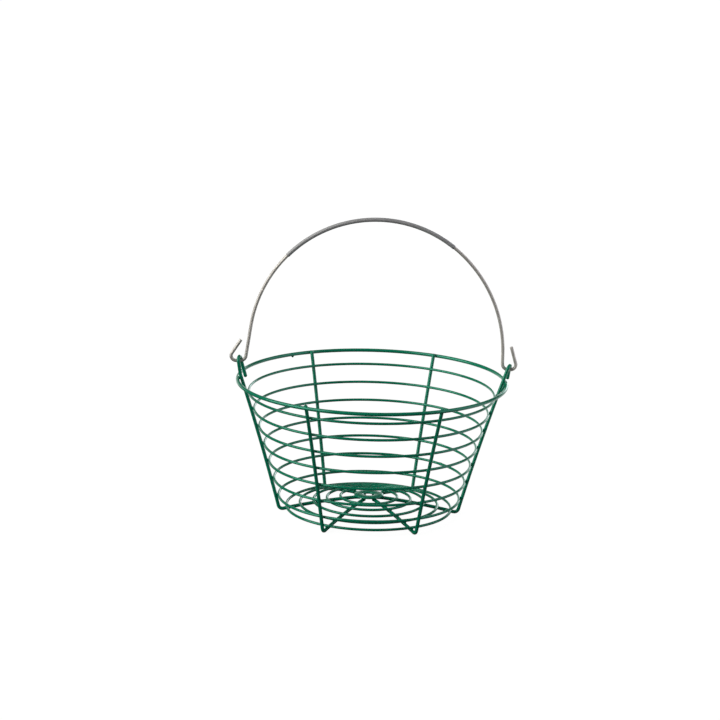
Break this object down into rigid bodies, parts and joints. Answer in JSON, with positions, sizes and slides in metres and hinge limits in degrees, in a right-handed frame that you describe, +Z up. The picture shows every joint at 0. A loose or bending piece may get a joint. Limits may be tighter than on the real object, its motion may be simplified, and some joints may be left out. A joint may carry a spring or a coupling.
{
  "type": "egg basket",
  "caption": "Round tapered egg basket of welded, green-coated wire with a domed ring floor and a hooked wire bail that swings in two ears and carries a tube grip.",
  "frame": {"origin": "on the ground at the middle of the feet, under the centre of the basket", "axes": "+Z up, +X towards the right ear, close to the bail's swing axis, +Y towards the back"},
  "size_m": [0.3492, 0.3306, 0.3647],
  "materials": {
    "green_coat": "glossy green plastic coat on steel wire",
    "bail_steel": "bright zinc-plated drawn wire",
    "grip_steel": "dull grey plated tube"
  },
  "bodies": {
    "basket": {"rim_hoop": "green_coat", "side_hoop_1": "green_coat", "side_hoop_2": "green_coat", "side_hoop_3": "green_coat", "side_hoop_4": "green_coat", "side_hoop_5": "green_coat", "side_hoop_6": "green_coat", "side_hoop_7": "green_coat", "rib_right_ear": "green_coat", "rib_back_right": "green_coat", "rib_back_left": "green_coat", "rib_left_ear": "green_coat", "rib_front_left": "green_coat", "rib_front_right": "green_coat", "floor_ring_1": "green_coat", "floor_ring_2": "green_coat", "floor_ring_3": "green_coat", "floor_ring_4": "green_coat", "floor_ring_5": "green_coat", "centre_washer": "green_coat"},
    "bail": {"bail_wire": "bail_steel", "bail_grip": "grip_steel"}
  },
  "joints": [
    {"name": "bail_swing", "type": "hinge", "parent": "basket", "child": "bail", "pos_m": [0.0018, 0.00573, 0.1833], "axis": [0.9999, 0, -0.0128], "range_deg": [-99, 95]}
  ]
}
